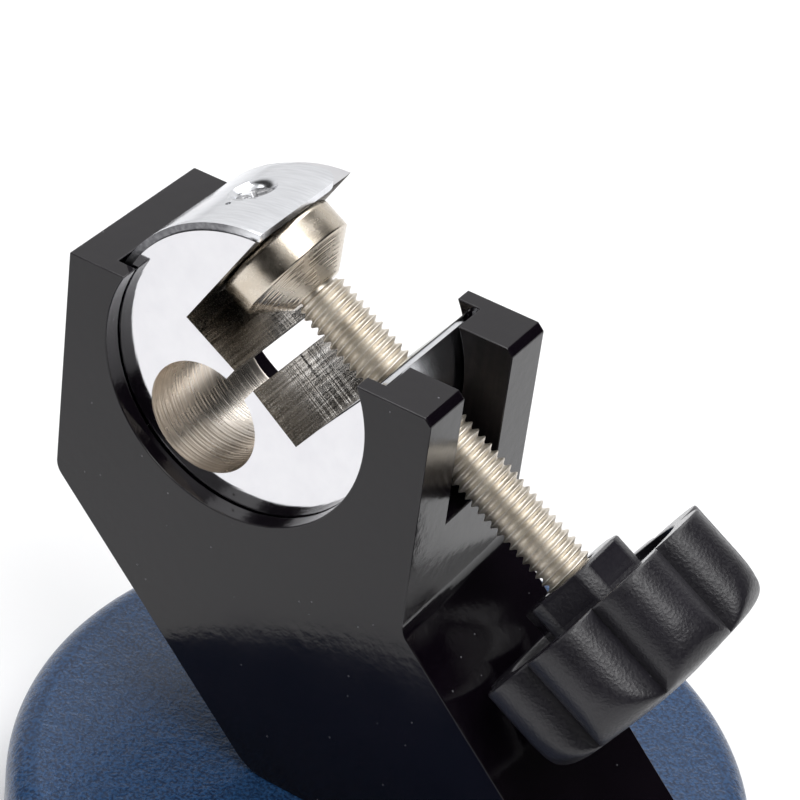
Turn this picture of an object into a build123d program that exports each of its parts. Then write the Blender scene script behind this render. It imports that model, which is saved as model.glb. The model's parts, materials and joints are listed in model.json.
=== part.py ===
from build123d import *
import os
from math import cos, radians, sin

# Bench stand with a swivelling split-drum clamp. Millimetres, +Z up.
# Origin: centre of the base where the rubber feet meet the bench. The drum turns about Y.

# ---- stand: round base, slanted column, forked head --------------------------------
base_r = 42.2
base_top = 14.0
base_floor = 1.5
rim_round = 4.0
recess_r = 30.0
recess_top = 4.5
rim_chamfer = 1.0
foot_r = 5.0
foot_pocket = 1.5
foot_chamfer = 0.4
foot_start = 45.0
foot_ring_r = 36.0
foot_count = 4

head_t = 22.5
drum_x = -18.0
drum_z = 63.3
head_left = -39.5
head_right = 5.5
head_top = drum_z + 7.4
left_bend_z = drum_z - 20.8
right_bend_z = drum_z - 20.0
prong_chamfer = 0.8
bend_round = 2.5
toe_round = 6.0
edge_break = 0.35

bore_r = 18.3
front_lip_r = 16.2
rear_lip_r = 15.8
lip_t = 2.2
channel_w = 9.4
channel_floor = drum_z - 9.45

# ---- column screws, put in from below -----------------------------------------------
bolt_r = 2.95
bolt_hole_r = 3.2
bolt_tap_r = 3.0
bolt_xs = (-4.0, 18.0)
bolt_depth = 11.0
bolt_seat = 9.0
bolt_head_r = 5.2
bolt_head_h = 3.2
bolt_head_round = 1.2
bolt_tip_chamfer = 0.6
bolt_pocket_r = 6.6
washer_r = 6.2
washer_t = 1.2
hex_socket_r = 2.3
hex_socket_floor = 1.0

# ---- split drum: clamp coordinates run u along the screw and n up out of the jaw ----
# Cutting shapes run past the surface they open, by the length named past.
tilt = radians(30.4)
drum_r = 16.9
drum_w = 17.7
jaw_seat_u = -8.95
jaw_floor_n = -0.35
slit_half = 1.45
lower_floor = (8.75, -1.1)
lower_lip = (10.4, 18.0)
relief_r = 6.66
relief_u = -0.4
relief_n = -8.63
past = 5.0

# ---- shoes that line the drum, each held by one countersunk screw --------------------
shoe_t = 0.85
shoe_r = drum_r + shoe_t
shoe_gap = 0.02
upper_shoe_span = (120.8, 189.0)
upper_shoe_ys = (-8.65, 6.75)
lower_shoe_span = (-24.0, 53.2)
lower_shoe_ys = (-8.65, 8.65)
shoe_corner_r = 2.6
shoe_screw_r = 1.45
shoe_head_r = 2.75
shoe_screw_gap = 0.05
shoe_screw_sink = 0.5
shoe_cross_w = 0.62
shoe_cross_len = 2.9
shoe_cross_depth = 1.0
shoe_tip_gap = 0.3
shoe_pass_gap = 0.5
upper_screw_at = 143.0
upper_screw_len = 4.2
lower_screw_at = -13.0
lower_screw_len = 6.5

# ---- clamp screw with its pad and knob -----------------------------------------------
axis_n = 7.66
screw_r = 3.0
tap_gap = 0.05
screw_start = -1.6
nose_r = 2.05
nose_start = -6.3
screw_end = 49.0
groove_at = -4.6
groove_half = 0.4
groove_gap = 0.1
nose_chamfer = 0.4
nose_tip_gap = 0.3
screw_chamfer = 0.5
pad_r = 7.0
pad_face = -8.75
pad_rim_end = -4.95
pad_back = -1.95
pad_back_r = 3.1
pad_chamfer = 0.5
fit_gap = 0.05
ring_out_r = 2.6
ring_in_r = 1.65
ring_half = 0.3
ring_opening = 0.9
knob_face = 41.0
knob_side_end = 48.4
knob_end = 53.4
knob_r = 15.2
knob_turned_r = 15.4
knob_valley_r = 12.3
knob_lobes = 8
knob_phase = 4.5
knob_shoulder_mid = (14.2, 51.15)
knob_shoulder_r = 12.2
knob_shoulder_s = 52.4
knob_crown_r = 4.0
knob_dish_r = 11.2
knob_dish = 0.9
boss_face = 37.6
boss_flat_r = 6.0
boss_corner_r = 6.5
boss_phase = 6.0
nut_flat_r = 5.0
nut_start = 38.8
nut_end = 43.8

os.makedirs("parts", exist_ok=True)


def clamp_xz(u, n):
    """Profile point (x, z) for clamp coordinates u along the screw and n out of the jaw."""
    x = drum_x + u * cos(tilt) + n * sin(tilt)
    z = drum_z - u * sin(tilt) + n * cos(tilt)
    return (x, z)


def across(s):
    """Plane square to the clamp screw at station s: local x is +Y, local y is out of the jaw."""
    x, z = clamp_xz(s, axis_n)
    return Plane(origin=(x, 0, z), x_dir=(0, 1, 0), z_dir=(cos(tilt), 0, -sin(tilt)))


def along():
    """Plane through the clamp screw: local x is the radius, local y is the station."""
    x, z = clamp_xz(0, axis_n)
    return Plane(origin=(x, 0, z), x_dir=(sin(tilt), 0, cos(tilt)), z_dir=(0, 1, 0))


def clamp_axis():
    """Axis of the clamp screw."""
    x, z = clamp_xz(0, axis_n)
    return Axis((x, 0, z), (cos(tilt), 0, -sin(tilt)))


def spoke(angle, radius):
    """Plane on the drum's skin: its normal points outward at the clamp angle given."""
    a = radians(angle)
    x, z = clamp_xz(radius * cos(a), radius * sin(a))
    out = (cos(a) * cos(tilt) + sin(a) * sin(tilt), 0, sin(a) * cos(tilt) - cos(a) * sin(tilt))
    return Plane(origin=(x, 0, z), x_dir=(0, 1, 0), z_dir=out)


def shoe_profile(span, inner, outer):
    """Curved strip between two radii over a span of clamp angles, as points for a face."""
    a0, a1 = radians(span[0]), radians(span[1])
    mid = (a0 + a1) / 2
    with BuildLine() as loop:
        p = [clamp_xz(r * cos(a), r * sin(a)) for r in (inner, outer) for a in (a0, mid, a1)]
        ThreePointArc(p[0], p[1], p[2])
        Line(p[2], p[5])
        ThreePointArc(p[5], p[4], p[3])
        Line(p[3], p[0])
    return loop.line


def save(name, part):
    """Label a finished solid and write it to its own file."""
    part.label = name
    export_step(part, "parts/" + name + ".step")


# ---- base ------------------------------------------------------------------------------
# A revolved casting: flat top, rounded rim and a shallow hollow underneath.
with BuildPart() as base:
    with BuildSketch(Plane.XZ):
        with BuildLine():
            Polyline((0, recess_top), (recess_r, recess_top), (recess_r, base_floor))
            Line((recess_r, base_floor), (base_r - rim_chamfer, base_floor))
            Line((base_r - rim_chamfer, base_floor), (base_r, base_floor + rim_chamfer))
            Line((base_r, base_floor + rim_chamfer), (base_r, base_top - rim_round))
            RadiusArc((base_r, base_top - rim_round), (base_r - rim_round, base_top), -rim_round)
            Polyline((base_r - rim_round, base_top), (0, base_top), (0, recess_top))
        make_face()
    revolve(axis=Axis.Z)
    # Clearance holes for the column screws, with pockets for their heads.
    with BuildSketch(Plane.XY.offset(recess_top)):
        with Locations(*[(x, 0) for x in bolt_xs]):
            Circle(bolt_hole_r)
    extrude(amount=base_top, mode=Mode.SUBTRACT)
    with BuildSketch(Plane.XY.offset(recess_top)):
        with Locations(*[(x, 0) for x in bolt_xs]):
            Circle(bolt_pocket_r)
    extrude(amount=bolt_seat - recess_top, mode=Mode.SUBTRACT)
    # Shallow pockets in the rim for the rubber feet.
    with BuildSketch(Plane.XY.offset(base_floor)):
        with PolarLocations(foot_ring_r, foot_count, start_angle=foot_start):
            Circle(foot_r + shoe_gap)
    extrude(amount=foot_pocket, mode=Mode.SUBTRACT)
save("base", base.part)

# Rubber feet, one file each, glued into the rim pockets.
for i in range(foot_count):
    with BuildPart() as foot:
        with BuildSketch(Plane.XY):
            with PolarLocations(foot_ring_r, 1, start_angle=foot_start + i * 360 / foot_count):
                Circle(foot_r)
        extrude(amount=base_floor + foot_pocket)
        chamfer(foot.edges().sort_by(Axis.Z)[0], foot_chamfer)
    save("foot_" + str(i + 1), foot.part)

# ---- head and column --------------------------------------------------------------------
# One profile of constant thickness: left arm, fork on the right, then a column at 45 degrees.
with BuildPart() as head:
    with BuildSketch(Plane.XZ) as profile:
        with BuildLine():
            Polyline(
                (head_left, head_top),
                (head_right - prong_chamfer, head_top),
                (head_right, head_top - prong_chamfer),
                (head_right, right_bend_z),
                (head_right + right_bend_z - base_top, base_top),
                (head_left + left_bend_z - base_top, base_top),
                (head_left, left_bend_z),
                (head_left, head_top),
            )
        make_face()
        toe = profile.vertices().filter_by_position(Axis.Y, base_top - 0.1, base_top + 0.1)
        fillet(toe.sort_by(Axis.X)[0], toe_round)
        knees = profile.vertices().filter_by_position(Axis.Y, left_bend_z - 0.1, right_bend_z + 0.1)
        fillet(knees, bend_round)
    extrude(amount=head_t / 2, both=True)
    # Break the long outer edges before the bore is cut.
    faces_fb = head.faces().filter_by(Axis.Y)
    rim_edges = faces_fb.edges().filter_by_position(Axis.Z, base_top + 1, head_top + 1)
    chamfer(rim_edges, edge_break)
    # Bore for the drum between two lips that stop it sliding out sideways.
    with BuildSketch(Plane.XZ):
        with Locations((drum_x, drum_z)):
            Circle(bore_r)
    extrude(amount=head_t / 2 - lip_t, both=True, mode=Mode.SUBTRACT)
    with BuildSketch(Plane.XZ):
        with Locations((drum_x, drum_z)):
            Circle(front_lip_r)
    extrude(amount=head_t, mode=Mode.SUBTRACT)
    with BuildSketch(Plane.XZ):
        with Locations((drum_x, drum_z)):
            Circle(rear_lip_r)
    extrude(amount=-head_t, mode=Mode.SUBTRACT)
    # Channel between the prongs, where the clamp screw swings.
    with BuildSketch(Plane.YZ.offset(drum_x)):
        with Locations((0, channel_floor)):
            Rectangle(channel_w, head_top, align=(Align.CENTER, Align.MIN))
    extrude(amount=head_right - drum_x + past, mode=Mode.SUBTRACT)
    # Tapped holes in the underside for the column screws.
    with BuildSketch(Plane.XY.offset(base_top)):
        with Locations(*[(x, 0) for x in bolt_xs]):
            Circle(bolt_tap_r)
    extrude(amount=bolt_depth + hex_socket_floor, mode=Mode.SUBTRACT)
save("head_column", head.part)

# Column screws and their washers. Threads are plain cylinders.
for i, bolt_x in enumerate(bolt_xs):
    head_z = bolt_seat - washer_t
    with BuildPart() as bolt:
        with BuildSketch(Plane.XY.offset(head_z - bolt_head_h)):
            with Locations((bolt_x, 0)):
                Circle(bolt_head_r)
        extrude(amount=bolt_head_h)
        fillet(bolt.edges().sort_by(Axis.Z)[0], bolt_head_round)
        with BuildSketch(Plane.XY.offset(head_z)):
            with Locations((bolt_x, 0)):
                Circle(bolt_r)
        extrude(amount=base_top + bolt_depth - head_z)
        chamfer(bolt.edges().sort_by(Axis.Z)[-1], bolt_tip_chamfer)
        with BuildSketch(Plane.XY.offset(head_z - bolt_head_h)):
            with Locations((bolt_x, 0)):
                RegularPolygon(hex_socket_r, 6)
        extrude(amount=bolt_head_h - hex_socket_floor, mode=Mode.SUBTRACT)
    save("column_screw_" + str(i + 1), bolt.part)
    with BuildPart() as washer:
        with BuildSketch(Plane.XY.offset(head_z)):
            with Locations((bolt_x, 0)):
                Circle(washer_r)
                Circle(bolt_hole_r, mode=Mode.SUBTRACT)
        extrude(amount=washer_t)
    save("column_washer_" + str(i + 1), washer.part)

# ---- split drum -------------------------------------------------------------------------
# A short cylinder with a jaw notch; a slit runs from the notch into the relief hole, so the
# thin wall under that hole bends and the two halves spread against the bore.
with BuildPart() as drum:
    with BuildSketch(Plane.XZ):
        with Locations((drum_x, drum_z)):
            Circle(drum_r)
        with BuildLine():
            corners = [
                clamp_xz(jaw_seat_u, drum_r + past),
                clamp_xz(jaw_seat_u, jaw_floor_n),
                clamp_xz(-slit_half, jaw_floor_n),
                clamp_xz(-slit_half, relief_n),
                clamp_xz(slit_half, relief_n),
                clamp_xz(slit_half, jaw_floor_n),
                clamp_xz(*lower_floor),
                clamp_xz(*lower_lip),
                clamp_xz(0, drum_r + 2 * past),
            ]
            Polyline(*corners, close=True)
        make_face(mode=Mode.SUBTRACT)
        with Locations(clamp_xz(relief_u, relief_n)):
            Circle(relief_r, mode=Mode.SUBTRACT)
    extrude(amount=drum_w / 2, both=True)
    # Tapped hole for the clamp screw through the lower jaw.
    with BuildSketch(across(0)):
        Circle(screw_r + tap_gap)
    extrude(amount=drum_r + past, mode=Mode.SUBTRACT)
    # Countersinks and tapped holes for the shoe screws.
    for angle, length in ((upper_screw_at, upper_screw_len), (lower_screw_at, lower_screw_len)):
        with BuildSketch(spoke(angle, shoe_r)):
            Circle(shoe_screw_r + shoe_screw_gap)
        extrude(amount=-(length + shoe_tip_gap), mode=Mode.SUBTRACT)
        with BuildSketch(spoke(angle, shoe_r)):
            Circle(shoe_head_r + shoe_screw_gap)
        extrude(amount=-(shoe_head_r - shoe_screw_r), taper=45, mode=Mode.SUBTRACT)
save("clamp_drum", drum.part)

# ---- shoes ------------------------------------------------------------------------------
# Polished curved strips on the outside of the drum; they are what rubs in the bore.
shoe_rows = (
    ("upper_shoe", upper_shoe_span, upper_shoe_ys, upper_screw_at),
    ("lower_shoe", lower_shoe_span, lower_shoe_ys, lower_screw_at),
)
for name, span, (y0, y1), angle in shoe_rows:
    with BuildPart() as shoe:
        with BuildSketch(Plane.XZ.offset(-y1)):
            add(make_face(shoe_profile(span, drum_r + shoe_gap, shoe_r), mode=Mode.PRIVATE))
        extrude(amount=y1 - y0)
        # Round the two rear corners of the strip.
        corners = shoe.edges().filter_by(lambda e: e.length < 2 * shoe_t).sort_by(Axis.Y)[-2:]
        fillet(corners, shoe_corner_r)
        with BuildSketch(spoke(angle, shoe_r)):
            Circle(shoe_head_r + shoe_screw_gap)
        extrude(amount=-(shoe_head_r - shoe_screw_r), taper=45, mode=Mode.SUBTRACT)
        # The clamp screw goes through the lower strip with room to spare.
        if name == "lower_shoe":
            with BuildSketch(across(0)):
                Circle(screw_r + shoe_pass_gap)
            extrude(amount=drum_r + past, mode=Mode.SUBTRACT)
    save(name, shoe.part)

# Countersunk screws with a cross recess, one in each strip, sunk a little below its surface.
screw_rows = (
    ("upper_shoe_screw", upper_screw_at, upper_screw_len),
    ("lower_shoe_screw", lower_screw_at, lower_screw_len),
)
for name, angle, length in screw_rows:
    with BuildPart() as small_screw:
        with BuildSketch(spoke(angle, shoe_r - shoe_screw_sink)):
            Circle(shoe_head_r - shoe_screw_sink)
        extrude(amount=-(shoe_head_r - shoe_screw_sink - shoe_screw_r), taper=45)
        with BuildSketch(spoke(angle, shoe_r - shoe_screw_sink)):
            Circle(shoe_screw_r)
        extrude(amount=-(length - shoe_screw_sink))
        with BuildSketch(spoke(angle, shoe_r)):
            Rectangle(shoe_cross_len, shoe_cross_w, rotation=45)
            Rectangle(shoe_cross_len, shoe_cross_w, rotation=-45)
        extrude(amount=-(shoe_screw_sink + shoe_cross_depth), mode=Mode.SUBTRACT)
    save(name, small_screw.part)

# ---- pad ---------------------------------------------------------------------------------
# Swivel pad: flat face, straight rim and a coned back, bored for the nose of the screw.
with BuildPart() as pad:
    with BuildSketch(along()):
        with BuildLine():
            bore = nose_r + fit_gap
            groove = ring_out_r + fit_gap
            Polyline(
                (0, pad_face),
                (pad_r - pad_chamfer, pad_face),
                (pad_r, pad_face + pad_chamfer),
                (pad_r, pad_rim_end),
                (pad_back_r, pad_back),
                (bore, pad_back),
                (bore, groove_at + groove_half),
                (groove, groove_at + groove_half),
                (groove, groove_at - groove_half),
                (bore, groove_at - groove_half),
                (bore, nose_start - nose_tip_gap),
                (0, nose_start - nose_tip_gap),
                (0, pad_face),
            )
        make_face()
    revolve(axis=clamp_axis())
save("pad", pad.part)

# Wire ring that keeps the pad on the nose of the screw.
with BuildPart() as ring:
    with BuildSketch(across(groove_at - ring_half)):
        Circle(ring_out_r)
        Circle(ring_in_r, mode=Mode.SUBTRACT)
        with Locations((0, ring_out_r)):
            Rectangle(ring_opening, 2 * ring_out_r, mode=Mode.SUBTRACT)
    extrude(amount=2 * ring_half)
save("pad_ring", ring.part)

# ---- clamp screw -------------------------------------------------------------------------
# A 6 mm screw: plain nose with a ring groove, then one long thread up to the knob.
with BuildPart() as screw:
    with BuildSketch(along()):
        with BuildLine():
            neck = ring_in_r - fit_gap
            Polyline(
                (0, nose_start),
                (nose_r - nose_chamfer, nose_start),
                (nose_r, nose_start + nose_chamfer),
                (nose_r, groove_at - groove_half - groove_gap),
                (neck, groove_at - groove_half - groove_gap),
                (neck, groove_at + groove_half + groove_gap),
                (nose_r, groove_at + groove_half + groove_gap),
                (nose_r, screw_start),
                (screw_r - screw_chamfer, screw_start),
                (screw_r, screw_start + screw_chamfer),
                (screw_r, screw_end - screw_chamfer),
                (screw_r - screw_chamfer, screw_end),
                (0, screw_end),
                (0, nose_start),
            )
        make_face()
    revolve(axis=clamp_axis())
save("clamp_screw", screw.part)

# ---- knob --------------------------------------------------------------------------------
# Moulded knob: eight wide lobes with sharp valleys, domed outside, faceted boss inside.
with BuildPart() as knob:
    # Body of revolution: straight side, rounded shoulder and a shallow crown.
    with BuildSketch(along()):
        with BuildLine():
            side_top = (knob_turned_r, knob_side_end)
            Polyline((0, knob_face), (knob_turned_r, knob_face), side_top)
            ThreePointArc(side_top, knob_shoulder_mid, (knob_shoulder_r, knob_shoulder_s))
            Polyline((knob_shoulder_r, knob_shoulder_s), (knob_crown_r, knob_end), (0, knob_end))
            Line((0, knob_end), (0, knob_face))
        make_face()
    revolve(axis=clamp_axis())
    # Keep only what lies inside the lobed outline, which starts below the face.
    with BuildSketch(across(knob_face - past)):
        with BuildLine():
            step = 360 / knob_lobes
            for i in range(knob_lobes):
                turn = [radians(knob_phase + (i + f) * step) for f in (0, 0.5, 1)]
                radii = (knob_valley_r, knob_r, knob_valley_r)
                pts = [(r * cos(a), r * sin(a)) for r, a in zip(radii, turn)]
                ThreePointArc(*pts)
        make_face()
    extrude(amount=knob_end - knob_face + 2 * past, mode=Mode.INTERSECT)
    # Shallow dish in the inner face, from the rim to the boss.
    with BuildSketch(across(knob_face)):
        Circle(knob_dish_r)
        Circle(boss_corner_r, mode=Mode.SUBTRACT)
    extrude(amount=knob_dish, mode=Mode.SUBTRACT)
    # Boss: a hexagon whose corners are cut back to a circle.
    with BuildSketch(across(boss_face)):
        RegularPolygon(boss_flat_r, 6, major_radius=False, rotation=boss_phase)
        Circle(boss_corner_r, mode=Mode.INTERSECT)
    extrude(amount=knob_face - boss_face)
    # Hole for the screw, open to the boss, with a pocket for the nut.
    with BuildSketch(across(boss_face)):
        Circle(screw_r + shoe_gap)
    extrude(amount=screw_end - boss_face + nose_tip_gap, mode=Mode.SUBTRACT)
    with BuildSketch(across(nut_start)):
        RegularPolygon(nut_flat_r + shoe_gap, 6, major_radius=False, rotation=boss_phase)
    extrude(amount=nut_end - nut_start, mode=Mode.SUBTRACT)
save("knob", knob.part)

# Hexagon nut moulded into the knob.
with BuildPart() as nut:
    with BuildSketch(across(nut_start)):
        RegularPolygon(nut_flat_r, 6, major_radius=False, rotation=boss_phase)
        Circle(screw_r + shoe_gap, mode=Mode.SUBTRACT)
    extrude(amount=nut_end - nut_start)
save("knob_nut", nut.part)
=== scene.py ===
import json
from math import atan2, cos, degrees, hypot, pi, radians, sin, sqrt

import bmesh
import bpy
from mathutils import Matrix, Vector


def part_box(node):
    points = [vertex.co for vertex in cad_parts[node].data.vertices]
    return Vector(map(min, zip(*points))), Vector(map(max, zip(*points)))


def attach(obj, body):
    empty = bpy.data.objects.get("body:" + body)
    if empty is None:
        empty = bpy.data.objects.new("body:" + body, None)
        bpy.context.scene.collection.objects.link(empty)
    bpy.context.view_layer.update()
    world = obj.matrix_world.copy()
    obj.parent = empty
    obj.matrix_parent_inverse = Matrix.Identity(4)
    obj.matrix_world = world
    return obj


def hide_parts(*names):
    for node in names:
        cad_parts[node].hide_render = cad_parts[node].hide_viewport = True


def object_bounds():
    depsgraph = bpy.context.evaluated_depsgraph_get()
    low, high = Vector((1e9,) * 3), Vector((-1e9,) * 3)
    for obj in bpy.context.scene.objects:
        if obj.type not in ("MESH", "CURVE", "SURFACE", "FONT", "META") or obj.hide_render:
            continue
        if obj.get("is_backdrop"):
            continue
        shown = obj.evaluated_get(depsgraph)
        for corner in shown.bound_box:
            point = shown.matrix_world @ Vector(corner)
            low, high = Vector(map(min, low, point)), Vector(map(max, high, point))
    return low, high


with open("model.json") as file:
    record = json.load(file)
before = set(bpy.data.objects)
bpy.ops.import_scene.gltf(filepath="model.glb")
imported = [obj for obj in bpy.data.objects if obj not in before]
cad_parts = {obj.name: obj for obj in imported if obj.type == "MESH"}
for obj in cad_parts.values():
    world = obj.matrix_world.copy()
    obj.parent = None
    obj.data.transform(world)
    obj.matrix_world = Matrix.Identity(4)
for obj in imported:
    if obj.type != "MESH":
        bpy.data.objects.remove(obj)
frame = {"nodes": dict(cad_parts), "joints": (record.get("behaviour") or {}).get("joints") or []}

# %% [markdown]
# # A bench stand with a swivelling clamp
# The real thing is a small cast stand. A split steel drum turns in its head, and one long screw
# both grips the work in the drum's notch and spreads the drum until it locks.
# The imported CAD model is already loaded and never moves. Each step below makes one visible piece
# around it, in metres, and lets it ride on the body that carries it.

cad_low, cad_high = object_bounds()
print("CAD box, mm:", [round(1000 * (h - l), 1) for l, h in zip(cad_low, cad_high)])

# %% [markdown]
# ## Where things are
# Most pieces sit square to the clamp screw, which leans down towards the knob. It is easiest to
# give their sizes along that screw (u), out of the jaw (n) and across the stand (y), and to turn
# them into the stand's own directions with one function. The joints in the record already say
# where the drum's centre is and which way the screw points, so nothing is measured twice.

# %% Directions taken from the joints
MM = 0.001
joints = {j["name"]: j for j in frame["joints"]}
drum_centre = Vector(joints["drum_swivel"]["pos_m"])
screw_dir = Vector(joints["pad_travel"]["axis"]).normalized()
side_dir = Vector((0, 1, 0))
jaw_dir = screw_dir.cross(side_dir).normalized() * -1
if jaw_dir.z < 0:
    jaw_dir.negate()
screw_height = (Vector(joints["knob_turn"]["pos_m"]) - drum_centre).dot(jaw_dir) / MM


def clamp_point(u, y, n):
    """A place given in millimetres along the screw, across the stand and out of the jaw."""
    return drum_centre + (screw_dir * u + side_dir * y + jaw_dir * n) * MM


print("screw leans", round(degrees(atan2(-screw_dir.z, screw_dir.x)), 1), "degrees")
print("screw axis is", round(screw_height, 2), "mm above the drum's centre line")

# %% [markdown]
# ## The camera and the light
# The camera looks down at the clamp from the front right, and is turned a little about its own
# line of sight. A long lens keeps the prongs nearly parallel. Shiny steel shows what stands
# around it, so the room is a studio: a white sheet behind the object, soft panels above and in
# front, and darkness between them. The dark parts are what give the enamel its blacks and the
# round steel parts their alternating light and dark patches.

# %% Camera
camera_turn, camera_height, camera_roll = radians(27.85), radians(35.69), radians(7.9)
camera_reach = 0.3300
looks_at = Vector((-0.0002, -0.0078, 0.0687))
back = Vector((sin(camera_turn) * cos(camera_height),
               -cos(camera_turn) * cos(camera_height),
               sin(camera_height)))
camera = bpy.data.objects.new("camera", bpy.data.cameras.new("camera"))
bpy.context.scene.collection.objects.link(camera)
camera.data.lens = 146.9
camera.data.sensor_width = 36
camera.data.clip_start = 0.01
facing = back.to_track_quat("Z", "Y").to_matrix().to_4x4()
camera.matrix_world = (Matrix.Translation(looks_at + back * camera_reach)
                       @ facing @ Matrix.Rotation(camera_roll, 4, "Z"))
bpy.context.scene.camera = camera
bpy.context.scene.view_settings.view_transform = "Standard"
print("camera stands at", [round(c, 4) for c in camera.matrix_world.translation])


# %% Soft panels and the room
def soft_panel(name, place, aim, width, height, power, colour=(1, 1, 1)):
    """A rectangular area light at a place, turned towards a point."""
    lamp = bpy.data.lights.new(name, "AREA")
    lamp.shape = "RECTANGLE"
    lamp.size, lamp.size_y = width, height
    lamp.energy = power
    lamp.color = colour
    obj = bpy.data.objects.new(name, lamp)
    bpy.context.scene.collection.objects.link(obj)
    way = Vector(aim) - Vector(place)
    obj.matrix_world = Matrix.Translation(place) @ way.to_track_quat("-Z", "Y").to_matrix().to_4x4()
    return obj


centre = (0, 0, 0.05)
soft_panel("panel_over", (-0.10, 0.30, 0.98), centre, 0.8, 0.8, 7.2)
soft_panel("panel_front", (0.44, -0.27, 0.91), centre, 0.5, 0.5, 3.4)
soft_panel("panel_front_left", (-0.55, -0.65, 0.75), centre, 0.5, 0.5, 1.3)

# %% Room: a white sheet behind, darkness to the right and in front
room = bpy.data.worlds.new("pale_room")
bpy.context.scene.world = room
room.use_nodes = True
walls = room.node_tree


def towards(turn, height, start, end, tone):
    """A bright part of the room round one direction, from its turn and height in degrees."""
    way = walls.nodes.new("ShaderNodeVectorMath")
    way.operation = "DOT_PRODUCT"
    turn, height = radians(turn), radians(height)
    way.inputs[1].default_value = (cos(turn) * cos(height), sin(turn) * cos(height), sin(height))
    walls.links.new(looking.outputs["Generated"], way.inputs[0])
    level = walls.nodes.new("ShaderNodeMapRange")
    level.interpolation_type = "SMOOTHSTEP"
    for label, value in zip(("From Min", "From Max", "To Max"), (start, end, tone)):
        level.inputs[label].default_value = value
    walls.links.new(way.outputs["Value"], level.inputs["Value"])
    return level.outputs["Result"]


looking = walls.nodes.new("ShaderNodeTexCoord")
sheet = towards(125, 15, 0.55, 0.80, 0.86)
ceiling = towards(-60, 75, 0.70, 0.92, 0.75)
both = walls.nodes.new("ShaderNodeMath")
both.operation = "MAXIMUM"
walls.links.new(sheet, both.inputs[0])
walls.links.new(ceiling, both.inputs[1])
dim = walls.nodes.new("ShaderNodeMath")
dim.operation = "ADD"
dim.inputs[1].default_value = 0.022
walls.links.new(both.outputs[0], dim.inputs[0])
seen = walls.nodes.new("ShaderNodeLightPath")
choose = walls.nodes.new("ShaderNodeMix")
choose.data_type = "RGBA"
choose.inputs[7].default_value = (0.93, 0.93, 0.94, 1)
walls.links.new(dim.outputs[0], choose.inputs[6])
walls.links.new(seen.outputs["Is Camera Ray"], choose.inputs[0])
walls.links.new(choose.outputs[2], walls.nodes["Background"].inputs["Color"])
walls.nodes["Background"].inputs["Strength"].default_value = 1.0


# %% [markdown]
# ## Tools for making meshes
# Three ways of making a mesh cover almost the whole stand. A turned piece is a profile swept
# round an axis. A cast or milled piece is an outline pushed through a thickness and then cut by
# others. Every sharp edge of either then gets a narrow bevel, because no real edge is perfectly
# sharp and it is the bevel that catches the light.

# %% Make an object from points and faces
def new_piece(name, points, faces, smooth_angle=35):
    """A mesh object from points in metres; edges flatter than the angle are shaded smooth."""
    mesh = bpy.data.meshes.new(name)
    mesh.from_pydata([tuple(p) for p in points], [], faces)
    work = bmesh.new()
    work.from_mesh(mesh)
    bmesh.ops.remove_doubles(work, verts=work.verts, dist=1e-7)
    bmesh.ops.dissolve_degenerate(work, edges=work.edges, dist=1e-7)
    bmesh.ops.recalc_face_normals(work, faces=work.faces)
    work.to_mesh(mesh)
    work.free()
    piece = bpy.data.objects.new(name, mesh)
    bpy.context.scene.collection.objects.link(piece)
    shade(piece, smooth_angle)
    return piece


def shade(piece, smooth_angle):
    """Smooth shading, but edges sharper than the angle stay crisp."""
    mesh = piece.data
    for face in mesh.polygons:
        face.use_smooth = True
    mesh.set_sharp_from_angle(angle=radians(smooth_angle))


# %% Sweep a profile round an axis
def turned(name, profile, start, axis, steps=128, smooth_angle=35):
    """A closed profile of (radius, station) pairs in millimetres, swept round an axis."""
    axis = Vector(axis).normalized()
    side = axis.orthogonal().normalized()
    other = axis.cross(side)
    rows = len(profile)
    points, faces = [], []
    for i in range(steps):
        a = 2 * pi * i / steps
        out = side * cos(a) + other * sin(a)
        points += [Vector(start) + (axis * s + out * r) * MM for r, s in profile]
    for i in range(steps):
        for k in range(rows - 1):
            a, b = i * rows + k, ((i + 1) % steps) * rows + k
            faces.append((a, b, b + 1, a + 1))
    return new_piece(name, points, faces, smooth_angle)


# %% Push an outline through a thickness
def pushed(name, outline, low, high, axis="Y", smooth_angle=35):
    """An outline of points in metres, (x, z) for Y or (x, y) for Z, between two heights."""
    def lift(p, h):
        return (p[0], h, p[1]) if axis == "Y" else (p[0], p[1], h)

    count = len(outline)
    points = [lift(p, low) for p in outline] + [lift(p, high) for p in outline]
    faces = [tuple(range(count)), tuple(range(2 * count - 1, count - 1, -1))]
    for i in range(count):
        j = (i + 1) % count
        faces.append((i, i + count, j + count, j))
    return new_piece(name, points, faces, smooth_angle)


# %% Cut, bevel and bake modifiers into the mesh
def settle(piece):
    """Replace the mesh by what its modifiers make of it."""
    graph = bpy.context.evaluated_depsgraph_get()
    final = bpy.data.meshes.new_from_object(piece.evaluated_get(graph),
                                            preserve_all_data_layers=True, depsgraph=graph)
    piece.modifiers.clear()
    piece.data = final
    return piece


def cut(piece, *cutters):
    """Cut pieces out of a piece, then throw the cutters away."""
    for cutter in cutters:
        saw = piece.modifiers.new("cut", "BOOLEAN")
        saw.operation = "DIFFERENCE"
        saw.solver = "EXACT"
        saw.object = cutter
    settle(piece)
    for cutter in cutters:
        bpy.data.objects.remove(cutter)
    return piece


def soften(piece, width, segments=3, angle=30):
    """A narrow round bevel, in millimetres, on every edge sharper than the angle.
    Weighted normals then keep the broad faces flat, so only the bevel bends the light."""
    for face in piece.data.polygons:
        face.use_smooth = True
    bevel = piece.modifiers.new("bevel", "BEVEL")
    bevel.width = width * MM
    bevel.segments = segments
    bevel.limit_method = "ANGLE"
    bevel.angle_limit = radians(angle)
    flat = piece.modifiers.new("flat", "WEIGHTED_NORMAL")
    flat.mode = "FACE_AREA"
    flat.weight = 100
    flat.keep_sharp = False
    return settle(piece)


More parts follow.
